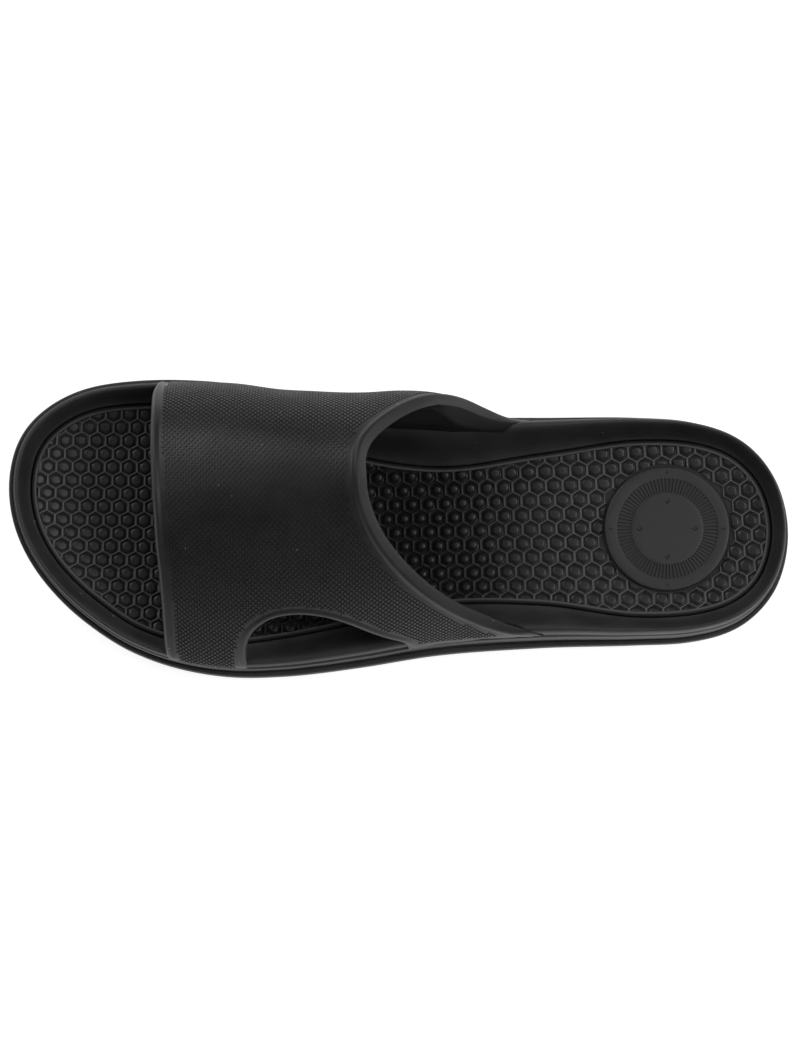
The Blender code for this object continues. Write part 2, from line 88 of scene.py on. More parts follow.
def soft_lamp(name, place, size, power):
    """A rectangular area lamp that faces the shoe."""
    lamp = bpy.data.lights.new(name, "AREA")
    lamp.shape = "RECTANGLE"
    lamp.size, lamp.size_y = size
    lamp.energy = power
    held = bpy.data.objects.new(name, lamp)
    held.location = place
    held.rotation_mode = "QUATERNION"
    held.rotation_quaternion = (Vector((0, 0, 0.03)) - Vector(place)).to_track_quat("-Z", "Y")
    bpy.context.collection.objects.link(held)


soft_lamp("lamp_toe_inner", (-1.0, 1.0, 1.0), (0.9, 0.6), 9.5)
soft_lamp("lamp_heel", (0.9, 0.0, 1.4), (0.9, 0.6), 8)
soft_lamp("lamp_toe", (-0.9, 0.0, 1.4), (0.9, 0.6), 1.5)
soft_lamp("lamp_low", (1.6, 0.4, 0.3), (0.9, 0.35), 3.5)
soft_lamp("lamp_over", (0.45, 0.15, 1.85), (1.2, 0.9), 3)
soft_lamp("lamp_inner", (0.0, 1.5, 0.9), (1.2, 0.6), 0.5)
soft_lamp("lamp_outer", (0.0, -1.5, 0.9), (1.2, 0.6), 1.5)

studio_air = bpy.data.worlds.new("studio_air")
bpy.context.scene.world = studio_air
studio_air.use_nodes = True
air_shader = studio_air.node_tree.nodes["Background"]
air_shader.inputs["Color"].default_value = (1, 1, 1, 1)
air_shader.inputs["Strength"].default_value = 0.02


# Midsole
# The cupped body of the shoe in closed-cell foam, moulded in one shot: a lower band that
# stands out as a ledge, a stepped side wall, a rounded rim and a recess for the footbed.
SOLE_LENGTH = 0.290
BALL_WIDTH = 0.111
TOE_SPRING = 0.009
TOE_SPRING_END = 0.24
HEEL_LIFT = 0.0035
HEEL_LIFT_START = 0.90
HEEL_LIFT_SPAN = 0.10
WAIST_LIFT = 0.0025
WAIST_START = 0.40
WAIST_SPAN = 0.27
OUTSOLE_HEIGHT = 0.007
LEDGE_HEIGHT = 0.015
HEEL_BED_HEIGHT = 0.026
RIM_RISE = 0.010
RIM_WIDTH = 0.008
RIM_SPREAD_START = 0.15
ARCH_RISE = 0.006
INSOLE_THICKNESS = 0.004
SOLE_ROUND = 384
STRIP = 0.004
COLD_TINT = 0.0002
SOLE_COLUMNS = (
    "along", "medial", "lateral", "bed", "rim", "wide_medial", "wide_lateral", "arch",
)
SOLE_STATIONS = (
    (0.000, 0.128, 0.128, 0.90, 0.72, 0.99, 0.99, 0.00),
    (0.012, 0.286, -0.037, 0.87, 0.73, 1.00, 1.00, 0.00),
    (0.043, 0.391, -0.178, 0.81, 0.75, 1.03, 1.03, 0.00),
    (0.096, 0.468, -0.316, 0.74, 0.78, 1.06, 1.09, 0.00),
    (0.160, 0.498, -0.421, 0.70, 0.80, 1.13, 1.07, 0.00),
    (0.225, 0.502, -0.478, 0.69, 0.82, 1.19, 1.19, 0.02),
    (0.289, 0.488, -0.502, 0.69, 0.84, 1.32, 1.46, 0.10),
    (0.354, 0.451, -0.499, 0.71, 0.87, 1.65, 1.70, 0.35),
    (0.450, 0.399, -0.470, 0.76, 0.93, 2.19, 1.96, 0.80),
    (0.547, 0.377, -0.431, 0.85, 0.98, 2.45, 2.20, 1.00),
    (0.676, 0.374, -0.404, 0.95, 1.00, 1.86, 1.88, 0.75),
    (0.805, 0.374, -0.394, 1.00, 1.00, 1.22, 1.15, 0.20),
    (0.870, 0.362, -0.385, 1.01, 1.00, 1.13, 1.11, 0.05),
    (0.934, 0.306, -0.338, 1.03, 1.00, 1.05, 1.07, 0.00),
    (0.979, 0.188, -0.229, 1.05, 1.00, 0.93, 0.93, 0.00),
    (1.000, -0.022, -0.022, 1.06, 1.00, 0.84, 0.84, 0.00),
)

# The wall's section as in the CAD model, with its corners rounded: inset as a share of
# the rim's width, and level, 0 seam, 1 ledge, 2 crest, 3 footbed, 4 floor of the recess.
WALL_SECTION = (
    (0.60, 0.00), (0.26, 0.00), (0.18, 0.01), (0.11, 0.03), (0.06, 0.08), (0.025, 0.16),
    (0.005, 0.27), (0.00, 0.40), (0.00, 0.72), (0.005, 0.83), (0.022, 0.915),
    (0.055, 0.97), (0.10, 0.993), (0.15, 1.00), (0.185, 1.00), (0.198, 0.985),
    (0.206, 0.95), (0.216, 0.95), (0.222, 0.99), (0.226, 1.06), (0.230, 1.20),
    (0.236, 1.38), (0.242, 1.54), (0.248, 1.59), (0.262, 1.615), (0.285, 1.625),
    (0.298, 1.645), (0.303, 1.70), (0.307, 1.79), (0.318, 1.87), (0.337, 1.93),
    (0.365, 1.97), (0.400, 1.992), (0.43, 2.00), (0.465, 2.01), (0.505, 2.04),
    (0.54, 2.09), (0.58, 2.165), (0.63, 2.285), (0.68, 2.415), (0.74, 2.58),
    (0.80, 2.73), (0.86, 2.85), (0.92, 2.935), (0.96, 2.972), (0.985, 2.99),
    (0.996, 3.02), (1.00, 3.10), (1.00, 3.90),
)


def smooth(knots, values, at):
    """Cubic through values at knots, whose slopes come from the neighbouring knots."""
    knots = np.asarray(knots, float)
    values = np.asarray(values, float)
    slopes = np.gradient(values, knots)
    at = np.asarray(at, float)
    left = np.clip(np.searchsorted(knots, at, side="right") - 1, 0, len(knots) - 2)
    step = knots[left + 1] - knots[left]
    t = (at - knots[left]) / step
    start = (1 + 2 * t) * (1 - t) ** 2 * values[left]
    end = t * t * (3 - 2 * t) * values[left + 1]
    leave = t * (1 - t) ** 2 * step * slopes[left]
    arrive = t * t * (t - 1) * step * slopes[left + 1]
    return start + end + leave + arrive


def ease(value):
    """0 to 1 with soft ends."""
    t = np.clip(value, 0, 1)
    return t * t * (3 - 2 * t)


def sole_column(name):
    """One column of the sole's stations."""
    return np.array([row[SOLE_COLUMNS.index(name)] for row in SOLE_STATIONS])


def turn_of(along):
    """Angle round the outline, 0 at the toe and pi at the heel, for a place along it."""
    return np.arccos(np.clip(1 - 2 * np.asarray(along, float), -1, 1))


def round_outline(medial, lateral, angle):
    """Read two columns round the outline: toe, medial side, heel, lateral side."""
    there = turn_of(sole_column("along"))
    knots = np.concatenate((there, 2 * math.pi - there[-2:0:-1]))
    values = np.concatenate((sole_column(medial), sole_column(lateral)[-2:0:-1]))
    knots = np.concatenate((knots[-3:] - 2 * math.pi, knots, knots[:3] + 2 * math.pi))
    values = np.concatenate((values[-3:], values, values[:3]))
    return smooth(knots, values, angle)


def outline_at(angle):
    """Points of the outline in plan, centred between its widest places."""
    widths = round_outline("medial", "lateral", np.linspace(0, 2 * math.pi, 720))
    middle = (widths.max() + widths.min()) / 2
    x = -np.cos(angle) * SOLE_LENGTH / 2
    y = (round_outline("medial", "lateral", angle) - middle) * BALL_WIDTH
    return np.stack((x, y), axis=-1)


def outward_at(angle):
    """Unit vectors in plan that point out of the outline."""
    run = outline_at(angle + 0.01) - outline_at(angle - 0.01)
    run /= np.linalg.norm(run, axis=-1, keepdims=True)
    return np.stack((-run[..., 1], run[..., 0]), axis=-1)


def along_of(x):
    """Place along the sole, 0 at the toe and 1 at the heel, of an x position."""
    return np.clip(np.asarray(x) / SOLE_LENGTH + 0.5, 0, 1)


def place_along(along):
    """The x position of a place along the sole."""
    return (along - 0.5) * SOLE_LENGTH


def ground_height(x):
    """Height of the sole's underside: toe spring, raised waist and heel bevel."""
    along = along_of(x)
    toe = TOE_SPRING * np.clip(1 - along / TOE_SPRING_END, 0, 1) ** 2
    heel = HEEL_LIFT * np.clip((along - HEEL_LIFT_START) / HEEL_LIFT_SPAN, 0, 1) ** 2
    waist = np.sin(math.pi * np.clip((along - WAIST_START) / WAIST_SPAN, 0, 1)) ** 2
    return toe + heel + WAIST_LIFT * waist


def bed_height(x):
    """Height of the footbed at its edge."""
    return HEEL_BED_HEIGHT * smooth(sole_column("along"), sole_column("bed"), along_of(x))


def level_height(x, angle, level):
    """Height of a level of the wall's section."""
    along = along_of(x)
    bed = bed_height(x)
    ledge = ground_height(x) + LEDGE_HEIGHT
    rise = RIM_RISE * smooth(sole_column("along"), sole_column("rim"), along)
    arch = smooth(sole_column("along"), sole_column("arch"), along)
    arch = np.where(angle < math.pi, np.clip(arch, 0, None), 0)
    marks = (
        ground_height(x) + OUTSOLE_HEIGHT, ledge, bed + rise + ARCH_RISE * arch, bed,
        bed - INSOLE_THICKNESS,
    )
    lower = min(int(level), len(marks) - 2)
    return marks[lower] + (marks[lower + 1] - marks[lower]) * (level - lower)


def inset_points(share, angle, extra=0.0):
    """Plan points between the outline, share 0, and the footbed's edge, share 1."""
    wide = round_outline("wide_medial", "wide_lateral", angle) * RIM_WIDTH
    spread = max(0, (share - RIM_SPREAD_START) / (1 - RIM_SPREAD_START))
    inset = share * RIM_WIDTH + (wide - RIM_WIDTH) * spread + extra
    return outline_at(angle) - outward_at(angle) * np.broadcast_to(inset, angle.shape)[:, None]


def lifted(plan, height):
    """Plan points with a height."""
    return np.column_stack((plan, np.broadcast_to(height, len(plan))))


def place_verts(verts, points):
    """Put vertices at points."""
    for vert, point in zip(verts, points):
        vert.co = point


def cross_strips(mesh, face):
    """Cut an end face into strips across the foot, so that it bends along the foot."""
    part = [face, *face.edges, *face.verts]
    places = [vert.co.x for vert in face.verts]
    for x in np.arange(min(places) + STRIP, max(places), STRIP):
        part = bmesh.ops.bisect_plane(
            mesh, geom=part, dist=1e-6, plane_co=(x, 0, 0), plane_no=(1, 0, 0)
        )["geom"]


def next_ring(mesh, edges):
    """Draw a ring of edges out once: the new ring's vertices and edges."""
    made = bmesh.ops.extrude_edge_only(mesh, edges=edges)["geom"]
    verts = [item for item in made if isinstance(item, bmesh.types.BMVert)]
    edges = [item for item in made if isinstance(item, bmesh.types.BMEdge)]
    return verts, edges


def moulded_ring_body(rings, strips=False):
    """A body drawn out of one ring of edges, ring after ring, and closed at both ends."""
    mesh = bmesh.new()
    ring = bmesh.ops.create_circle(mesh, segments=len(rings[0]), radius=1.0)["verts"]
    place_verts(ring, rings[0])
    first = list(mesh.edges)
    edges = first
    for points in rings[1:]:
        ring, edges = next_ring(mesh, edges)
        place_verts(ring, points)
    ends = [bmesh.ops.contextual_create(mesh, geom=end)["faces"][0] for end in (first, edges)]
    if strips:
        for end in ends:
            cross_strips(mesh, end)
    bmesh.ops.recalc_face_normals(mesh, faces=mesh.faces)
    return mesh


def join_into(mesh, other):
    """Add another mesh to a mesh, and free it."""
    data = bpy.data.meshes.new("joined")
    other.to_mesh(data)
    other.free()
    mesh.from_mesh(data)
    bpy.data.meshes.remove(data)


def as_piece(name, mesh, material, crease=50):
    """A finished mesh as a piece of the shoe, with smooth shading and sharp creases."""
    data = bpy.data.meshes.new(name)
    mesh.to_mesh(data)
    mesh.free()
    data.materials.append(material)
    data.shade_smooth()
    data.set_sharp_from_angle(angle=math.radians(crease))
    piece = bpy.data.objects.new(name, data)
    bpy.context.collection.objects.link(piece)
    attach(piece, "root")
    return piece


def black_foam(name, shade, roughness, grain_size, grain_depth, dust=0.0):
    """Moulded black foam: a fine grain, uneven gloss, faint mottling and a little dust."""
    colour = (shade, shade, shade + COLD_TINT)
    material = bpy.data.materials.new(name)
    material.use_nodes = True
    nodes, links = material.node_tree.nodes, material.node_tree.links
    shader = nodes["Principled BSDF"]
    shader.inputs["Metallic"].default_value = 0
    shader.inputs["Specular IOR Level"].default_value = 0.5
    shader.inputs["IOR"].default_value = 1.48
    place = nodes.new("ShaderNodeTexCoord")

    mottle = nodes.new("ShaderNodeTexNoise")
    mottle.inputs["Scale"].default_value = 90
    mottle.inputs["Detail"].default_value = 4
    links.new(place.outputs["Object"], mottle.inputs["Vector"])
    gloss = nodes.new("ShaderNodeMapRange")
    gloss.inputs["From Min"].default_value = 0.3
    gloss.inputs["From Max"].default_value = 0.7
    gloss.inputs["To Min"].default_value = roughness - 0.04
    gloss.inputs["To Max"].default_value = roughness + 0.06
    links.new(mottle.outputs["Fac"], gloss.inputs["Value"])
    links.new(gloss.outputs["Result"], shader.inputs["Roughness"])

    tint = nodes.new("ShaderNodeValToRGB")
    tint.color_ramp.elements[0].position = 0.35
    tint.color_ramp.elements[0].color = (*[part * 0.82 for part in colour], 1)
    tint.color_ramp.elements[1].position = 0.65
    tint.color_ramp.elements[1].color = (*[part * 1.15 for part in colour], 1)
    links.new(mottle.outputs["Fac"], tint.inputs["Fac"])

    specks = nodes.new("ShaderNodeTexVoronoi")
    specks.inputs["Scale"].default_value = 170
    links.new(place.outputs["Object"], specks.inputs["Vector"])
    near = nodes.new("ShaderNodeMapRange")
    near.inputs["From Min"].default_value = 0.075
    near.inputs["From Max"].default_value = 0.03
    links.new(specks.outputs["Distance"], near.inputs["Value"])
    some = nodes.new("ShaderNodeSeparateColor")
    links.new(specks.outputs["Color"], some.inputs["Color"])
    few = nodes.new("ShaderNodeMath")
    few.operation = "GREATER_THAN"
    few.inputs[1].default_value = 1.0 - dust
    links.new(some.outputs["Red"], few.inputs[0])
    lint = nodes.new("ShaderNodeMath")
    lint.operation = "MULTIPLY"
    links.new(near.outputs["Result"], lint.inputs[0])
    links.new(few.outputs["Value"], lint.inputs[1])
    dusted = nodes.new("ShaderNodeMix")
    dusted.data_type = "RGBA"
    dusted.inputs["B"].default_value = (0.22, 0.21, 0.19, 1)
    links.new(lint.outputs["Value"], dusted.inputs["Factor"])
    links.new(tint.outputs["Color"], dusted.inputs["A"])
    links.new(dusted.outputs["Result"], shader.inputs["Base Color"])

    grain = nodes.new("ShaderNodeTexNoise")
    grain.inputs["Scale"].default_value = 1 / grain_size
    grain.inputs["Detail"].default_value = 3
    links.new(place.outputs["Object"], grain.inputs["Vector"])
    skin = nodes.new("ShaderNodeBump")
    skin.inputs["Strength"].default_value = 1.0
    skin.inputs["Distance"].default_value = grain_depth
    links.new(grain.outputs["Fac"], skin.inputs["Height"])
    links.new(skin.outputs["Normal"], shader.inputs["Normal"])
    return material


sole_angle = np.arange(SOLE_ROUND) * 2 * math.pi / SOLE_ROUND
wall_rings = []
for share, level in WALL_SECTION:
    plan = inset_points(share, sole_angle)
    wall_rings.append(lifted(plan, level_height(plan[:, 0], sole_angle, level)))
midsole_foam = black_foam(
    "midsole_foam", 0.035, roughness=0.58, grain_size=0.0005, grain_depth=0.00001, dust=0.20
)
midsole_mesh = moulded_ring_body(wall_rings, strips=True)
midsole = as_piece("midsole_shell", midsole_mesh, midsole_foam, 60)
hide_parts("midsole")


# Outsole
# The ground layer in denser foam under the midsole, with chevron grooves across the
# ball and the heel. Its solid has the right shape, so it keeps it and gets its finish.
outsole_foam = black_foam(
    "outsole_foam", 0.020, roughness=0.66, grain_size=0.0004, grain_depth=0.00003
)
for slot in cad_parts["outsole"].material_slots:
    slot.material = outsole_foam


# Footbed
# A separate foam insert that lies in the midsole's recess, with a rounded edge, a thin
# raised line round it and a shallow dish in which the nodules stand.
INSOLE_GAP = 0.0003
INSOLE_DISH = 0.0015
DISH_START = 0.0024
DISH_REACH = 0.0168
DISH_RINGS = (0.0040, 0.0065, 0.0095, 0.0130, 0.0170, 0.0200)
NODULE_SINK = 0.0012
LINE_PLACE = 0.0015
LINE_WIDTH = 0.0008
# Grey of the painted highlight on the footbed's raised line and on the nodules' wall tops.
HIGHLIGHT_GREY = (0.095, 0.095, 0.096)
FOOTBED_EDGE = (
    (0.0000, -0.0030), (0.0000, -0.0009), (0.0002, -0.0003), (0.0005, 0.0000),
    (0.0009, 0.0001), (0.0012, 0.0002), (0.0014, 0.0004), (0.0017, 0.0004),
    (0.0019, 0.0002), (0.0021, -0.0003), (0.0022, -0.0008),
)


def footbed_edge(inwards):
    """Ring of plan points that lies inside the footbed's edge."""
    return inset_points(1.0, sole_angle, INSOLE_GAP + inwards)


EDGE_LINE = footbed_edge(0.0)


def line_distance(points, line):
    """Distance of plan points from a closed line, with the nearest place on it."""
    start = line
    run = np.roll(line, -1, axis=0) - start
    length = (run ** 2).sum(axis=1)
    best = np.full(len(points), 1e9)
    near = np.zeros((len(points), 2))
    for i in range(len(points)):
        away = points[i] - start
        t = np.clip((away * run).sum(axis=1) / length, 0, 1)
        foot = start + run * t[:, None]
        gap = ((points[i] - foot) ** 2).sum(axis=1)
        k = int(gap.argmin())
        best[i] = math.sqrt(gap[k])
        near[i] = foot[k]
    return best, near


def inside_line(points, line):
    """Which plan points lie inside a closed line."""
    one, two = line, np.roll(line, -1, axis=0)
    spans = (one[:, 1] > points[:, 1:]) != (two[:, 1] > points[:, 1:])
    rise = np.where(two[:, 1] == one[:, 1], 1e-12, two[:, 1] - one[:, 1])
    cross = one[:, 0] + (points[:, 1:] - one[:, 1]) / rise * (two[:, 0] - one[:, 0])
    return (spans & (points[:, :1] < cross)).sum(axis=1) % 2 == 1


def dish_depth(distance):
    """How far the footbed sinks below its edge height, at a distance from its edge."""
    share = np.clip((distance - DISH_START) / DISH_REACH, 0, 1)
    return INSOLE_DISH * np.sin(share * math.pi / 2)


def paint_highlight(piece, painted_highlight, colour):
    """Paint a lighter grey onto a piece's foam as a painted highlight, from a value at each vertex.
    """
    highlight_values = piece.data.attributes.new("painted_highlight", "FLOAT", "POINT")
    highlight_values.data.foreach_set("value", painted_highlight.astype(float))
    material = piece.data.materials[0]
    nodes, links = material.node_tree.nodes, material.node_tree.links
    base = nodes["Principled BSDF"].inputs["Base Color"]
    highlight_attribute = nodes.new("ShaderNodeAttribute")
    highlight_attribute.attribute_name = "painted_highlight"
    lighter = nodes.new("ShaderNodeMix")
    lighter.data_type = "RGBA"
    lighter.inputs["B"].default_value = (*colour, 1)
    links.new(highlight_attribute.outputs["Fac"], lighter.inputs["Factor"])
    links.new(base.links[0].from_socket, lighter.inputs["A"])
    links.new(lighter.outputs["Result"], base)


footbed_rings = []
for inwards, rise in FOOTBED_EDGE:
    plan = footbed_edge(inwards)
    footbed_rings.append(lifted(plan, bed_height(plan[:, 0]) + rise))
for inwards in DISH_RINGS:
    plan = footbed_edge(inwards)
    depth = dish_depth(inwards) + NODULE_SINK
    footbed_rings.append(lifted(plan, bed_height(plan[:, 0]) - depth))
footbed_foam = black_foam(
    "footbed_foam", 0.018, roughness=0.52, grain_size=0.0004, grain_depth=0.00002, dust=0.02
)
footbed_mesh = moulded_ring_body(footbed_rings, strips=True)
footbed = as_piece("footbed_slab", footbed_mesh, footbed_foam)
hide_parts("insole")
# Painted highlight: the thin raised line round the footbed is painted a lighter grey along its top.
flat_verts = np.array([vert.co[:2] for vert in footbed.data.vertices])
slab_gap, _ = line_distance(flat_verts, EDGE_LINE)
paint_highlight(footbed, np.abs(slab_gap - LINE_PLACE) < LINE_WIDTH / 2, HIGHLIGHT_GREY)


# Nodules
# Hexagonal cells moulded on the footbed in rows that bend with the foot: thin raised
# walls, wider where they run across the foot, round a sunken moat with a blunt stud.
CELL_PITCH = 0.00622
TOE_CELL_PITCH = 0.0060
PITCH_CHANGE = -0.012
FIRST_CELL = 0.0514
ROW_UNIT = CELL_PITCH * math.sqrt(3) / 2
FIELD_MARGIN = 0.0019
PAD_X = 0.343 * SOLE_LENGTH
PAD_Y = -0.012 * BALL_WIDTH
PAD_RADIUS = 0.02325
PAD_MOAT = 0.0008
SKIRT = 0.0018
WALL_SHOULDER = -0.0002
STUD_REACH = 0.0026
CELL_REACH = 0.6 * CELL_PITCH
CELL_ROWS = range(-14, 9)
CELL_COLUMNS = range(-34, 16)
SAME_PLACE = 3e-5
ARCH_START = 0.24
ARCH_FADE_IN = 0.10
ARCH_END = 0.70
ARCH_FADE_OUT = 0.18

# The rows at stations along x: height of the first row, and the pitch of the rows. The
# columns lean with the bend, from LEAN_START towards the heel.
ROW_STATIONS = (
    (-0.150, 0.0127, 0.00486),
    (-0.118, 0.0126, 0.00492),
    (-0.060, 0.0124, 0.00503),
    (0.011, 0.0133, 0.00517),
    (0.039, 0.0142, 0.00524),
    (0.067, 0.0151, 0.00535),
    (0.099, 0.0168, 0.00551),
    (0.130, 0.0188, 0.00565),
    (0.150, 0.0202, 0.00574),
)
LEAN_START = -0.064
LEAN_RATE = 0.373

# Steps of a cell's section, from the middle of its wall inwards: distance from the walls
# across the foot, distance from the slanting walls, height, and what the arch's taller
# studs add to the distances and to the height.
CELL_SECTION = (
    (0.00000, 0.00000, -0.00002, 0.0, 0.0),
    (0.00024, 0.00011, 0.00000, 0.0, 0.0),
    (0.00034, 0.00020, -0.00012, 0.0, 0.0),
    (0.00048, 0.00034, -0.00100, 0.0, 0.0),
    (0.00092, 0.00080, -0.00105, 0.0, 0.0),
    (0.00122, 0.00114, -0.00050, 0.00035, 0.00110),
    (0.00142, 0.00136, -0.00034, 0.00045, 0.00140),
    (0.00200, 0.00196, -0.00028, 0.00035, 0.00150),
)


def cell_place(column, row):
    """Plan point of a place in the cells' rows and columns, whole numbers or between."""
    change = (PITCH_CHANGE - FIRST_CELL) / CELL_PITCH
    beyond = min(0, column - change)
    x = FIRST_CELL + (column - beyond) * CELL_PITCH + beyond * TOE_CELL_PITCH
    table = np.array(ROW_STATIONS)
    start, pitch = (float(smooth(table[:, 0], table[:, i], x)) for i in (1, 2))
    return x - LEAN_RATE * (x - LEAN_START) * row * pitch, start + row * pitch


def arch_share(x):
    """1 under the arch and 0 at the toe and the heel."""
    along = along_of(x)
    grown = ease((along - ARCH_START) / ARCH_FADE_IN)
    return float(grown * ease((ARCH_END - along) / ARCH_FADE_OUT))


def nodule_cell(column, row):
    """One cell: a ring of six, drawn inwards step by step over its wall to its stud."""
    cell = bmesh.new()
    verts = bmesh.ops.create_circle(cell, segments=6, radius=1.0)["verts"]
    edges = list(cell.edges)
    tall = arch_share(cell_place(column, row)[0])
    for step, (side, slant, rise, narrow, taller) in enumerate(CELL_SECTION):
        if step:
            verts, edges = next_ring(cell, edges)
        across = CELL_PITCH / 2 - side - narrow * tall
        along = CELL_PITCH / 2 - slant - narrow * tall
        tip = along * 2 / math.sqrt(3)
        shoulder = (along - across / 2) * 2 / math.sqrt(3)
        corners = (
            (across, shoulder), (0, tip), (-across, shoulder),
            (-across, -shoulder), (0, -tip), (across, -shoulder),
        )
        for vert, (dx, dy) in zip(verts, corners):
            spot = cell_place(column + dx / CELL_PITCH, row + dy / ROW_UNIT)
            vert.co = (*spot, rise + taller * tall)
    bmesh.ops.contextual_create(cell, geom=edges)
    return cell


def cut_cell(cell, place, outward):
    """Cut off what of a cell lies beyond a plane."""
    bmesh.ops.bisect_plane(
        cell, geom=list(cell.verts) + list(cell.edges) + list(cell.faces), dist=1e-6,
        plane_co=(*place, 0), plane_no=(*outward, 0), clear_outer=True,
    )


field_line = footbed_edge(FIELD_MARGIN)
nodule_field = bmesh.new()
cell_middles = []
for row in CELL_ROWS:
    for column in CELL_COLUMNS:
        column += 0.5 * (row % 2)
        spot = np.array(cell_place(column, row))
        gap, near = line_distance(spot[None], field_line)
        gap, near = float(gap[0]), near[0]
        within = bool(inside_line(spot[None], field_line)[0])
        away = spot - (PAD_X, PAD_Y)
        pad_gap = float(np.hypot(*away))
        if (not within and gap > CELL_REACH) or pad_gap < PAD_RADIUS:
            continue
        cell_middles.append(spot)
        cell = nodule_cell(column, row)
        if gap < CELL_REACH:
            outward = (near - spot) / gap if within else (spot - near) / gap
            cut_cell(cell, near, outward)
        if pad_gap < PAD_RADIUS + PAD_MOAT + CELL_REACH:
            away /= pad_gap
            cut_cell(cell, (PAD_X, PAD_Y) + away * (PAD_RADIUS + PAD_MOAT), -away)
        join_into(nodule_field, cell)
bmesh.ops.remove_doubles(nodule_field, verts=nodule_field.verts, dist=SAME_PLACE)
rim_edges = [edge for edge in nodule_field.edges if edge.is_boundary]
for vert in next_ring(nodule_field, rim_edges)[0]:
    vert.co.z = -SKIRT
bmesh.ops.recalc_face_normals(nodule_field, faces=nodule_field.faces)
nodule_field.verts.ensure_lookup_table()
plan = np.array([vert.co[:2] for vert in nodule_field.verts])
edge_gap, _ = line_distance(plan, EDGE_LINE)
base = bed_height(plan[:, 0]) - dish_depth(edge_gap)
from_middle = np.array([np.hypot(*(np.array(cell_middles) - spot).T).min() for spot in plan])
# Mask of the cells' wall tops, which get a painted highlight below.
wall_top = np.array([vert.co.z > WALL_SHOULDER for vert in nodule_field.verts])
wall_top &= from_middle > STUD_REACH
for vert, height in zip(nodule_field.verts, base):
    vert.co.z += height
nodule_foam = black_foam(
    "nodule_foam", 0.015, roughness=0.40, grain_size=0.0003, grain_depth=0.00001, dust=0.01
)
nodules = as_piece("footbed_nodules", nodule_field, nodule_foam, 75)
# Painted highlight: the wall tops are painted a lighter grey, left off under the arch where the
# strap casts its shade.
under_arch = np.array([arch_share(x) for x in plan[:, 0]])
paint_highlight(nodules, wall_top * (1 - under_arch), HIGHLIGHT_GREY)


# Heel medallion
# A round foam disc set in the footbed's heel: a plain rounded rim, a sunken ring with
# fine radial ribs, and a plain middle with a few small lozenge marks.
PAD_BED = float(bed_height(PAD_X)) - INSOLE_DISH
PAD_TOP = 0.0010
PAD_ROUND = 184
RIBS = 80
RIB_FLOOR = 0.00040
RIB_TOP = 0.00104
RIB_INNER = 0.0136
RIB_OUTER = 0.0185
RIB_LET_IN = 0.0001
RIB_FOOT_SHARE = 0.66
RIB_TOP_SHARE = 0.40
# Lozenge marks on each of four bearings: distance out, half length and half width.
MARKS = ((0.0103, 0.0015, 0.0012), (0.0210, 0.0009, 0.0007))
MARK_HEIGHT = 0.0004
MARK_LET_IN = 0.3
MARK_SLOPE = 0.45

# The disc's section from its edge inwards: radius, and height above its bed.
PAD_SECTION = (
    (0.02300, -0.0014), (0.02315, -0.0012), (PAD_RADIUS, -0.0006), (PAD_RADIUS, 0.0004),
    (0.02322, 0.0007), (0.02308, 0.00088), (0.02285, PAD_TOP), (0.02240, 0.00106),
    (0.02100, 0.00106), (0.01960, 0.00102), (0.01885, PAD_TOP), (0.01862, 0.00096),
    (0.01855, 0.0008), (0.01850, RIB_FLOOR), (0.01360, RIB_FLOOR), (0.01355, 0.0008),
    (0.01348, 0.00096), (0.01330, PAD_TOP), (0.01200, 0.00102), (0.00600, 0.00104),
)


def turned_disc(sections, steps):
    """A closed turned body from its radii and heights above the pad's bed."""
    bearing = np.arange(steps) * 2 * math.pi / steps
    rings = []
    for radius, height in sections:
        plan = np.column_stack((PAD_X + radius * np.cos(bearing), PAD_Y + radius * np.sin(bearing)))
        rings.append(lifted(plan, PAD_BED + height))
    return moulded_ring_body(rings)


def pad_point(out, across, bearing, height):
    """A point of the disc: out from its middle, across that line and above its bed."""
    return (
        PAD_X + out * math.cos(bearing) - across * math.sin(bearing),
        PAD_Y + out * math.sin(bearing) + across * math.cos(bearing),
        PAD_BED + height,
    )


heel_pad_foam = black_foam(
    "heel_pad_foam", 0.024, roughness=0.48, grain_size=0.0003, grain_depth=0.00001
)
pad_mesh = turned_disc(PAD_SECTION, PAD_ROUND)
pad = as_piece("heel_medallion", pad_mesh, heel_pad_foam, 40)
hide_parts("heel_pad")

rib_mesh = bmesh.new()
for number in range(RIBS):
    bearing = number * 2 * math.pi / RIBS
    for vert in bmesh.ops.create_cube(rib_mesh, size=1.0)["verts"]:
        out = RIB_INNER - RIB_LET_IN if vert.co.x < 0 else RIB_OUTER + RIB_LET_IN
        half = out * math.pi / RIBS * (RIB_FOOT_SHARE if vert.co.z < 0 else RIB_TOP_SHARE)
        across = math.copysign(half, vert.co.y)
        height = RIB_FLOOR - RIB_LET_IN if vert.co.z < 0 else RIB_TOP
        vert.co = pad_point(out, across, bearing, height)
as_piece("medallion_ribs", rib_mesh, heel_pad_foam, 30)

mark_mesh = bmesh.new()
for quarter in range(4):
    bearing = quarter * math.pi / 2
    for out, long, wide in MARKS:
        made = bmesh.ops.create_cone(
            mark_mesh, segments=4, radius1=1.0, radius2=MARK_SLOPE, depth=1.0, cap_ends=True
        )
        for vert in made["verts"]:
            height = PAD_TOP + MARK_HEIGHT * (vert.co.z + MARK_LET_IN)
            vert.co = pad_point(out + vert.co.x * long, vert.co.y * wide, bearing, height)
as_piece("medallion_marks", mark_mesh, heel_pad_foam, 30)


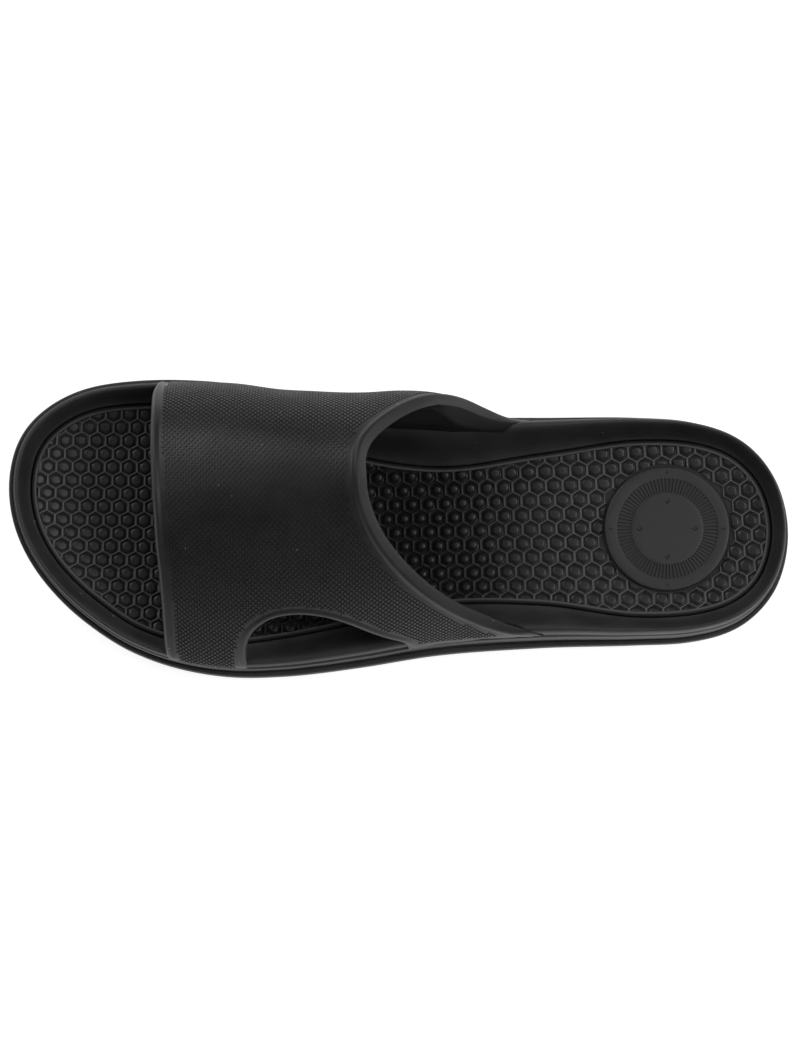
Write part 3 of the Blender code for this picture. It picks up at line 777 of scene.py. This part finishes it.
# Strap
# The wide upper, moulded with the sole: a foam wall 4 mm thick that arches over the
# foot, with a raised smooth border, a cut-out in its outer side and feet that run into
# the midsole's sides.
STRAP_WALL = 0.004
STRAP_HEIGHT = 0.071
STRAP_INSET = 0.0015
STRAP_PROUD = 0.00015
FOOT_BLEND = 0.020
STRAP_BULGE = 0.008
FOOT_FLARE = 0.0075
FLARE_TOP = 0.60
FLARE_SPAN = 0.35
CROWN_OFFSET = 0.012
LATERAL_FULLNESS = 1.6
MEDIAL_FULLNESS = 2.4
SIDE_TOP = 0.31
FOOT_DEPTH = 0.006
SEAM_LEVEL = 1.66
BEAD_FADE = 0.016
FOOT_SUNK = 0.0010
SEAM_BLEND = 0.0016
EDGE_ROUND = 0.0008
REAR_ROUND = 0.0036
EDGE_MERGE = 2e-6
EDGE_POINTS = 130
WINDOW_POINTS = 110
LINE_SPACING = 0.0011
CORNER_BEND = 0.6
NORMAL_STEP = 0.0012
# Spacing of the strap's vertices inside its borders.
WEAVE = 0.0020
WEAVE_CLEAR = 0.6 * WEAVE
WEAVE_ROW = 0.866 * WEAVE
RING_KEPT = 0.995
STRAP_COLUMNS = ("along", "height", "crown", "bulge", "flare_medial", "flare_lateral")
STRAP_STATIONS = (
    (0.15, 0.69, 0.60, -0.15, 0.00, 0.00),
    (0.20, 0.74, 0.70, -0.15, 0.00, 0.00),
    (0.25, 0.80, 0.80, -0.10, 0.00, 0.00),
    (0.30, 0.86, 0.85, 0.03, 0.05, 0.05),
    (0.35, 0.91, 0.95, 0.18, 0.25, 0.10),
    (0.40, 0.95, 1.00, 0.48, 0.55, 0.15),
    (0.46, 1.00, 1.00, 0.80, 0.85, 0.20),
    (0.50, 1.03, 1.00, 1.00, 1.00, 0.22),
    (0.55, 1.08, 1.00, 0.95, 1.00, 0.25),
    (0.58, 1.10, 1.00, 0.70, 0.90, 0.25),
    (0.61, 1.13, 1.00, 0.25, 0.55, 0.15),
    (0.64, 1.16, 1.00, -0.20, 0.20, 0.05),
    (0.69, 1.20, 1.00, -0.30, 0.05, 0.00),
)

# The strap's edges: turn from 0 at the lateral foot over the crown to 1 at the medial
# foot, front edge and rear edge as shares of the sole's length.
STRAP_EDGES = (
    (0.00, 0.214, 0.690),
    (0.06, 0.207, 0.689),
    (0.09, 0.204, 0.676),
    (0.12, 0.201, 0.636),
    (0.16, 0.200, 0.596),
    (0.23, 0.199, 0.544),
    (0.30, 0.197, 0.504),
    (0.36, 0.194, 0.478),
    (0.43, 0.192, 0.461),
    (0.50, 0.190, 0.457),
    (0.56, 0.188, 0.457),
    (0.62, 0.187, 0.464),
    (0.70, 0.187, 0.487),
    (0.78, 0.187, 0.525),
    (0.84, 0.187, 0.563),
    (0.90, 0.189, 0.612),
    (0.94, 0.190, 0.661),
    (1.00, 0.193, 0.688),
)

# The cut-out from its front corner over its top to its tail: place along the sole, and
# height above the ledge as a share of the strap's height.
WINDOW = (
    (0.306, 0.00),
    (0.306, 0.10),
    (0.307, 0.28),
    (0.313, 0.38),
    (0.326, 0.45),
    (0.346, 0.50),
    (0.375, 0.52),
    (0.408, 0.50),
    (0.439, 0.45),
    (0.470, 0.37),
    (0.500, 0.28),
    (0.511, 0.22),
    (0.513, 0.12),
    (0.513, 0.00),
)


def strap_column(name, along):
    """One column of the strap's stations, read at some places along the sole."""
    rows = np.array(STRAP_STATIONS)
    return smooth(rows[:, 0], rows[:, STRAP_COLUMNS.index(name)], along)


def foot_swell(x, angle, rise, up, reach, fullness):
    """How far the strap's foot stands out from its arch to cover the midsole's side."""
    crest = (level_height(x, angle, 2) - level_height(x, angle, 1)) / rise
    low = np.minimum(up, crest)
    wide = round_outline("wide_medial", "wide_lateral", angle) * RIM_WIDTH
    spread = (SIDE_TOP - RIM_SPREAD_START) / (1 - RIM_SPREAD_START)
    side_inset = SIDE_TOP * RIM_WIDTH + spread * (wide - RIM_WIDTH)
    wall = STRAP_INSET + (side_inset - STRAP_PROUD - STRAP_INSET) * low / crest
    left = np.clip(1 - np.clip(low, 0, 1) ** fullness, 0, 1)
    arch = STRAP_INSET + reach * (1 - left ** (1 / fullness))
    return np.clip(arch - wall, 0, None) * ease(1 - (up - crest) * rise / FOOT_BLEND)


def strap_surface(along, turn):
    """Points of the strap's outer face between its raised borders."""
    x = place_along(along)
    angle = turn_of(along)
    medial = outline_at(angle)[..., 1] - STRAP_INSET
    lateral = outline_at(2 * math.pi - angle)[..., 1] + STRAP_INSET
    crown = CROWN_OFFSET * strap_column("crown", along)
    rise = STRAP_HEIGHT * strap_column("height", along)
    theta = math.pi * turn
    over = theta > math.pi / 2
    fullness = np.where(over, MEDIAL_FULLNESS, LATERAL_FULLNESS)
    across = np.sign(np.cos(theta)) * np.abs(np.cos(theta)) ** (2 / fullness)
    up = np.clip(np.abs(np.sin(theta)) ** (2 / fullness), 0, 1)
    reach = np.where(over, medial - crown, crown - lateral)
    swell = STRAP_BULGE * strap_column("bulge", along) * np.sin(math.pi * up)
    y = crown - across * reach + np.where(over, swell, 0) * np.abs(across)
    side = np.where(over, angle, 2 * math.pi - angle)
    y = y + np.where(over, 1, -1) * foot_swell(x, side, rise, up, reach, fullness)
    foot = ground_height(x) + LEDGE_HEIGHT + INSOLE_GAP
    return np.stack((x, y, foot + rise * up), axis=-1)


# The strap is laid out flat: x along the sole, and the run round the arch from the
# lateral foot to the medial foot, stretched to one common length.
GIRTH_ALONG = np.linspace(0.16, 0.715, 112)
GIRTH_TURN = np.linspace(0, 1, 721)
girth_points = strap_surface(*np.meshgrid(GIRTH_ALONG, GIRTH_TURN, indexing="ij"))
girth_steps = np.linalg.norm(np.diff(girth_points, axis=1), axis=-1)
girth_run = np.concatenate((np.zeros((len(GIRTH_ALONG), 1)), girth_steps.cumsum(axis=1)), axis=1)
GIRTH = 0.190
girth_run *= GIRTH / girth_run[:, -1:]


def girth_row(along):
    """The two girth stations beside a place, and its share between them."""
    place = (along - GIRTH_ALONG[0]) / (GIRTH_ALONG[1] - GIRTH_ALONG[0])
    left = np.clip(place.astype(int), 0, len(GIRTH_ALONG) - 2)
    return left, place - left


def flat_from_turn(along, turn):
    """Run round the arch of a turn."""
    along, turn = np.asarray(along, float), np.asarray(turn, float)
    left, share = girth_row(along)
    made = []
    for a, s, t in zip(left, share, turn):
        one = np.interp(t, GIRTH_TURN, girth_run[a])
        two = np.interp(t, GIRTH_TURN, girth_run[a + 1])
        made.append(one + (two - one) * s)
    return np.array(made)


def strap_point(flat):
    """Points of the strap's outer face from its flat layout."""
    along = along_of(flat[:, 0])
    left, share = girth_row(along)
    turn = np.empty(len(flat))
    run = np.clip(flat[:, 1], 0, GIRTH)
    for station in np.unique(left):
        here = left == station
        one = np.interp(run[here], girth_run[station], GIRTH_TURN)
        two = np.interp(run[here], girth_run[station + 1], GIRTH_TURN)
        turn[here] = one + (two - one) * share[here]
    points = strap_surface(along, turn)
    points[:, 2] -= np.clip(-flat[:, 1], 0, None) + np.clip(flat[:, 1] - GIRTH, 0, None)
    return points, turn


def strap_outward(flat):
    """Unit vectors that point out of the strap's outer face."""
    ahead, aside = (NORMAL_STEP, 0), (0, NORMAL_STEP)
    lengthwise = strap_point(flat + ahead)[0] - strap_point(flat - ahead)[0]
    over = strap_point(flat + aside)[0] - strap_point(flat - aside)[0]
    normal = np.cross(lengthwise, over)
    return normal / np.linalg.norm(normal, axis=-1, keepdims=True)


def strap_wall(along, turn):
    """The wall's thickness, which grows towards the feet where the sole's rim is wide."""
    medial = strap_column("flare_medial", along)
    lateral = strap_column("flare_lateral", along)
    flare = np.where(turn > 0.5, medial, lateral)
    return STRAP_WALL + FOOT_FLARE * flare * ease((FLARE_TOP - np.sin(math.pi * turn)) / FLARE_SPAN)


def window_turn(along, rise):
    """Turn at which the strap's lateral side has a height above the ledge."""
    x = place_along(along)
    height = LEDGE_HEIGHT + rise * STRAP_HEIGHT
    foot = ground_height(x) + LEDGE_HEIGHT + INSOLE_GAP
    up = (height - foot) / (STRAP_HEIGHT * strap_column("height", along))
    return np.arcsin(np.clip(up, 0, 1) ** (LATERAL_FULLNESS / 2)) / math.pi


def strap_outline():
    """The strap's closed outline in its flat layout, and which edge each point is on."""
    rows = np.array(STRAP_EDGES)
    turns = np.linspace(0, 1, EDGE_POINTS)
    front = smooth(rows[:, 0], rows[:, 1], turns)
    rear = smooth(rows[:, 0], rows[:, 2], turns)
    front_line = np.column_stack((place_along(front), flat_from_turn(front, turns)))
    rear_line = np.column_stack((place_along(rear), flat_from_turn(rear, turns)))[::-1]
    table = np.array(WINDOW)
    order = np.arange(len(table))
    fine = np.linspace(0, len(table) - 1, WINDOW_POINTS)
    along = smooth(order, table[:, 0], fine)
    rise = smooth(order, table[:, 1], fine)
    window_run = flat_from_turn(along, window_turn(along, rise))
    window_line = np.column_stack((place_along(along), window_run))[::-1]
    deep = np.array((0, FOOT_DEPTH))
    line = [front_line[0] - deep, *front_line, front_line[-1] + deep]
    kind = ["front"] * len(line)
    line += [rear_line[0] + deep, *rear_line, rear_line[-1] - deep]
    kind += ["rear"] * (len(rear_line) + 2)
    line += [window_line[0] - deep, *window_line, window_line[-1] - deep]
    kind += ["window"] * (len(window_line) + 2)
    return even_line(np.array(line), kind, LINE_SPACING)


def even_line(line, kind, spacing):
    """A closed line with its points spread evenly, and each point's edge."""
    closed = np.vstack((line, line[:1]))
    run = np.concatenate(((0,), np.linalg.norm(np.diff(closed, axis=0), axis=1).cumsum()))
    corners = []
    for i in range(len(line)):
        one = line[i] - line[i - 1]
        two = line[(i + 1) % len(line)] - line[i]
        bend = abs(math.atan2(one[0] * two[1] - one[1] * two[0], one @ two))
        if bend > CORNER_BEND:
            corners.append(run[i])
    at = []
    stops = sorted({0.0, *corners, run[-1]})
    for start, end in zip(stops, stops[1:]):
        at.extend(np.linspace(start, end, max(2, round((end - start) / spacing)), endpoint=False))
    at = np.array(at)
    points = np.column_stack((np.interp(at, run, closed[:, 0]), np.interp(at, run, closed[:, 1])))
    index = np.clip(np.searchsorted(run, at, side="right") - 1, 0, len(line) - 1)
    return points, [kind[i] for i in index]


def foot_seam(flat):
    """Run from the foot's end up to the side groove, above which the strap shows."""
    angle = turn_of(along_of(flat[:, 0]))
    angle = np.where(flat[:, 1] > GIRTH / 2, angle, 2 * math.pi - angle)
    return level_height(flat[:, 0], angle, SEAM_LEVEL) - level_height(flat[:, 0], angle, 1)


def foot_distance(flat):
    """Run from the nearer end of the strap's arch."""
    return np.minimum(flat[:, 1], GIRTH - flat[:, 1])


outline_flat, outline_kind = strap_outline()


def edge_kinds(spots):
    """Which of the strap's edges each spot on its outline is on."""
    nearest = [((outline_flat - spot) ** 2).sum(axis=1).argmin() for spot in spots]
    return np.array([outline_kind[int(i)] for i in nearest])


# Distances from the edge at which rows of vertices follow it, and the sections of the
# raised border: distance from the edge, and height over the face. The rear edge has a
# slanting end face.
BORDER_STEPS = (
    0.00015, 0.0004, 0.0008, 0.0012, 0.0016, 0.0020, 0.0026, 0.0032, 0.0038, 0.0044, 0.0052,
)
BORDERS = {
    "front": ((0, -0.0022), (0.0004, -0.0010), (0.0008, -0.0003), (0.0012, 0.0002),
              (0.0016, 0.0005), (0.0020, 0.00065), (0.0026, 0.0005), (0.0032, 0.0000),
              (0.0038, -0.0002), (0.0044, 0.0), (0.1, 0.0)),
    "rear": ((0, -0.0030), (0.00015, -0.0026), (0.0004, -0.0021), (0.0008, -0.0013),
             (0.0012, -0.0008), (0.0016, 0.0000), (0.0020, 0.0004), (0.0026, 0.0006),
             (0.0032, 0.0004), (0.0038, 0.0001), (0.0044, -0.0002), (0.0052, 0.0), (0.1, 0.0)),
    "window": ((0, -0.0022), (0.00015, -0.0014), (0.0004, -0.0008), (0.0008, -0.0002),
               (0.0012, 0.0002), (0.0020, 0.0004), (0.0026, 0.0004), (0.0032, 0.0002),
               (0.0038, -0.0001), (0.0044, 0.0), (0.1, 0.0)),
}

run_of_line = np.roll(outline_flat, -1, axis=0) - np.roll(outline_flat, 1, axis=0)
run_of_line /= np.linalg.norm(run_of_line, axis=1, keepdims=True)
inwards = np.column_stack((run_of_line[:, 1], -run_of_line[:, 0]))
spots = [outline_flat]
for step in BORDER_STEPS:
    spots.append(outline_flat + inwards * step)
    gap, _ = line_distance(spots[-1], outline_flat)
    spots[-1] = spots[-1][gap > step * RING_KEPT]
low, high = outline_flat.min(axis=0), outline_flat.max(axis=0)
field = []
for row, y in enumerate(np.arange(low[1], high[1], WEAVE_ROW)):
    for x in np.arange(low[0] + WEAVE / 2 * (row % 2), high[0], WEAVE):
        field.append((x, y))
field = np.array(field)
gap, near = line_distance(field, outline_flat)
spots.append(field[gap > BORDER_STEPS[-1] + WEAVE_CLEAR])
spots = np.concatenate(spots)
count = len(outline_flat)
loop = [(i, (i + 1) % count) for i in range(count)]
laid, _, corners, *_ = delaunay_2d_cdt([Vector(spot) for spot in spots], loop, [], 1, 1e-7)
flat_strap = bmesh.new()
laid = [flat_strap.verts.new((*spot, 0)) for spot in laid]
middles = np.array([np.mean([laid[i].co[:2] for i in corner], axis=0) for corner in corners])
for corner, kept in zip(corners, inside_line(middles, outline_flat)):
    if kept:
        flat_strap.faces.new([laid[i] for i in corner])
bmesh.ops.delete(
    flat_strap, geom=[vert for vert in flat_strap.verts if not vert.link_faces], context="VERTS"
)
flat_strap.verts.ensure_lookup_table()
flat = np.array([vert.co[:2] for vert in flat_strap.verts])
edge_gap, edge_near = line_distance(flat, outline_flat)
kinds = edge_kinds(edge_near)
lift = np.zeros(len(flat))
for name, section in BORDERS.items():
    here = kinds == name
    table = np.array(section)
    lift[here] = np.interp(edge_gap[here], table[:, 0], table[:, 1])
above_seam = foot_distance(flat) - foot_seam(flat)
lift *= ease(above_seam / BEAD_FADE)
lift -= FOOT_SUNK * ease((SEAM_BLEND / 2 - above_seam) / SEAM_BLEND)
face_points, face_turn = strap_point(flat)
face_out = strap_outward(flat)
wall = strap_wall(along_of(flat[:, 0]), face_turn)
outer_points = face_points + face_out * lift[:, None]
round_reach = np.where(kinds == "rear", REAR_ROUND, EDGE_ROUND)
rounding = np.clip(1 - edge_gap / round_reach, 0, 1)
rolled = 1 - np.sqrt(np.clip(1 - rounding ** 2, 0, 1))
inner_depth = wall - (wall + np.minimum(lift, 0)) * rolled
inner_points = face_points - face_out * inner_depth[:, None]

inner_strap = flat_strap.copy()
place_verts(flat_strap.verts, outer_points)
place_verts(inner_strap.verts, inner_points)
bmesh.ops.reverse_faces(inner_strap, faces=inner_strap.faces)
join_into(flat_strap, inner_strap)
bmesh.ops.remove_doubles(flat_strap, verts=flat_strap.verts, dist=EDGE_MERGE)
bmesh.ops.recalc_face_normals(flat_strap, faces=flat_strap.faces)
strap_foam = black_foam(
    "strap_foam", 0.0165, roughness=0.50, grain_size=0.0004, grain_depth=0.000012, dust=0.40
)
strap = as_piece("strap_shell", flat_strap, strap_foam, 65)
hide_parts("upper")


# Knurl
# The strap's grip pattern, moulded with it: small flat-topped diamonds in staggered rows
# that leave the smooth border free.
DIAMOND_LONG = 0.0021
DIAMOND_OVER = 0.0024
DIAMOND_GROOVE = 0.00042
DIAMOND_RISE = 0.00030
DIAMOND_SUNK = 0.00008
DIAMOND_SLOPE = 0.78
KNURL_MARGIN = {"front": 0.0050, "rear": 0.0064, "window": 0.0046}
KNURL_CLEAR = 0.0020
KNURL_REAR_CLEAR = 0.0040
REAR_LEG_START = 0.0

knurl = bmesh.new()
for row, over in enumerate(np.arange(0, GIRTH, DIAMOND_OVER / 2)):
    lengthwise = np.arange(low[0] + DIAMOND_LONG / 2 * (row % 2), high[0], DIAMOND_LONG)
    middles = np.column_stack((lengthwise, np.full(len(lengthwise), over)))
    middles = middles[inside_line(middles, outline_flat)]
    clear = np.where(middles[:, 0] > REAR_LEG_START, KNURL_REAR_CLEAR, KNURL_CLEAR)
    middles = middles[foot_distance(middles) > foot_seam(middles) + clear]
    if not len(middles):
        continue
    gap, near = line_distance(middles, outline_flat)
    strip = bmesh.new()
    for middle, free, edge in zip(middles, gap, edge_kinds(near)):
        if free < KNURL_MARGIN[edge]:
            continue
        made = bmesh.ops.create_cone(
            strip, segments=4, radius1=1.0, radius2=DIAMOND_SLOPE, depth=1.0, cap_ends=True
        )
        for vert in made["verts"]:
            vert.co.x = middle[0] + vert.co.x * (DIAMOND_LONG - DIAMOND_GROOVE) / 2
            vert.co.y = middle[1] + vert.co.y * (DIAMOND_OVER - DIAMOND_GROOVE) / 2
            vert.co.z = DIAMOND_RISE if vert.co.z > 0 else -DIAMOND_SUNK
    join_into(knurl, strip)
knurl.verts.ensure_lookup_table()
laid = np.array([vert.co for vert in knurl.verts])
knurl_face = strap_point(laid[:, :2])[0]
place_verts(knurl.verts, knurl_face + strap_outward(laid[:, :2]) * laid[:, 2:])
bmesh.ops.recalc_face_normals(knurl, faces=knurl.faces)
as_piece("strap_knurl", knurl, strap_foam, 20)
